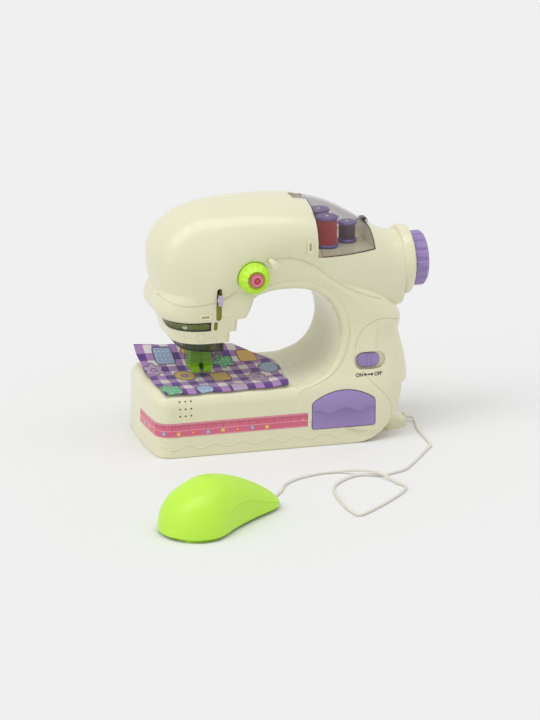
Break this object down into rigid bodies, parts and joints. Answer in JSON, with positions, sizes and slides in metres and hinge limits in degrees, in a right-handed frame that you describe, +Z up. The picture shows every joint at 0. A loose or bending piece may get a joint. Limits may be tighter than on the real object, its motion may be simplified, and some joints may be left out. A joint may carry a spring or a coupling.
{
  "type": "toy sewing machine",
  "caption": "Toy sewing machine with a rounded cream housing, spool compartment, handwheel, tension dial, moving needle head, drawer, slide switch and corded foot pedal.",
  "frame": {"origin": "centre of the machine's base on the table, on the underside of the bottom plate", "axes": "+X to the right towards the handwheel, +Y to the back, +Z up; the front with the drawer faces -Y"},
  "size_m": [0.296, 0.3279, 0.212],
  "materials": {
    "cream_plastic": "glossy moulded",
    "purple_plastic": "satin moulded",
    "lime_plastic": "glossy moulded",
    "olive_plastic": "matte moulded",
    "lilac_plastic": "satin moulded",
    "pink_plastic": "glossy moulded",
    "smoke_plastic": "smoked clear",
    "clear_plastic": "clear, slightly grey",
    "white_plastic": "matte moulded",
    "black_plastic": "matte moulded",
    "steel": "bright",
    "brass": "turned",
    "board_green": "board lacquer",
    "battery_wrap": "shrink wrap",
    "red_thread": "wound thread",
    "purple_thread": "wound thread",
    "cord": "soft sheath",
    "gingham": "woven cotton check"
  },
  "bodies": {
    "root": {"front_shell": "cream_plastic", "back_shell": "cream_plastic", "base_plate": "cream_plastic", "base_screws": "steel", "housing_screws": "steel", "battery_box": "black_plastic", "battery_door": "cream_plastic", "batteries": "battery_wrap", "battery_contacts": "steel", "circuit_board": "board_green", "speaker": "black_plastic", "shaft_bushes": "brass", "idler_pin": "steel", "motor": "steel", "gearbox_plate": "white_plastic", "guide_rods": "steel", "finger_guard": "clear_plastic", "take_up_guide": "olive_plastic", "head_window": "smoke_plastic", "head_lens": "smoke_plastic", "head_thread_guide": "cream_plastic", "upper_thread_guide": "cream_plastic", "thread_post": "cream_plastic", "cover_hinge_pin": "steel", "spool_tray": "cream_plastic", "spool_pegs": "cream_plastic", "drawer_housing": "white_plastic", "switch_body": "black_plastic", "pedal_base": "lime_plastic", "pedal_pin": "steel", "pedal_spring": "steel", "pedal_contact": "black_plastic", "cord_bush": "cream_plastic", "pedal_cord": "cord", "sewing_cloth": "gingham"},
    "wheel": {"handwheel": "purple_plastic", "main_shaft": "steel", "crank_disc": "white_plastic", "shaft_gear": "white_plastic"},
    "idler": {"idler_gear": "white_plastic"},
    "rotor": {"motor_pinion": "brass", "motor_shaft": "steel"},
    "carriage": {"needle_carriage": "lime_plastic", "presser_foot": "lime_plastic", "needle": "steel"},
    "take_up": {"take_up_lever": "lilac_plastic"},
    "dial": {"tension_dial": "lime_plastic", "dial_cap": "pink_plastic"},
    "cover": {"spool_cover": "clear_plastic"},
    "front_spool": {"spool_front": "purple_plastic", "thread_front": "red_thread"},
    "rear_spool": {"spool_rear": "purple_plastic", "thread_rear": "red_thread"},
    "side_spool": {"spool_side": "purple_plastic", "thread_side": "purple_thread"},
    "drawer_tray": {"drawer": "purple_plastic"},
    "switch_button": {"switch_slider": "purple_plastic"},
    "pedal_top": {"pedal_cover": "lime_plastic"}
  },
  "joints": [
    {"name": "handwheel_spin", "type": "hinge", "parent": "root", "child": "wheel", "pos_m": [0.1, 0, 0.146], "axis": [1, 0, 0], "continuous": true},
    {"name": "idler_spin", "type": "hinge", "parent": "root", "child": "idler", "pos_m": [0.09, 0, 0.122], "axis": [1, 0, 0], "continuous": true},
    {"name": "motor_spin", "type": "hinge", "parent": "root", "child": "rotor", "pos_m": [0.09, 0, 0.102], "axis": [1, 0, 0], "continuous": true},
    {"name": "needle_slide", "type": "slide", "parent": "root", "child": "carriage", "axis": [0, 0, 1], "range_m": [-0.0035, 0.0095]},
    {"name": "take_up_slide", "type": "slide", "parent": "root", "child": "take_up", "axis": [0, 0, 1], "range_m": [-0.00175, 0.00475]},
    {"name": "dial_turn", "type": "hinge", "parent": "root", "child": "dial", "pos_m": [-0.0282, -0.05, 0.153], "axis": [0, -1, 0], "continuous": true},
    {"name": "cover_hinge", "type": "hinge", "parent": "root", "child": "cover", "pos_m": [0.0835, 0, 0.18416], "axis": [0, 1, 0], "range_deg": [0, 80]},
    {"name": "front_spool_spin", "type": "hinge", "parent": "root", "child": "front_spool", "pos_m": [0.046, -0.015, 0.17], "axis": [0, 0, 1], "continuous": true},
    {"name": "rear_spool_spin", "type": "hinge", "parent": "root", "child": "rear_spool", "pos_m": [0.046, 0.0115, 0.17], "axis": [0, 0, 1], "continuous": true},
    {"name": "side_spool_spin", "type": "hinge", "parent": "root", "child": "side_spool", "pos_m": [0.0675, -0.003, 0.17], "axis": [0, 0, 1], "continuous": true},
    {"name": "drawer_slide", "type": "slide", "parent": "root", "child": "drawer_tray", "axis": [0, -1, 0], "range_m": [0, 0.036]},
    {"name": "switch_slide", "type": "slide", "parent": "root", "child": "switch_button", "axis": [1, 0, 0], "range_m": [-0.002, 0.0044]},
    {"name": "pedal_press", "type": "hinge", "parent": "root", "child": "pedal_top", "pos_m": [-0.05889, -0.19664, 0.008], "axis": [0.5255, -0.8508, 0], "range_deg": [0, 1.2], "stiffness_Nm_per_rad": 2, "springref_deg": -2.86, "deforming": ["pedal_spring"]}
  ],
  "couplings": [
    {"joint": "idler_spin", "follows": "handwheel_spin", "ratio": -4},
    {"joint": "motor_spin", "follows": "handwheel_spin", "ratio": 16},
    {"joint": "take_up_slide", "follows": "needle_slide", "ratio": 0.5}
  ]
}
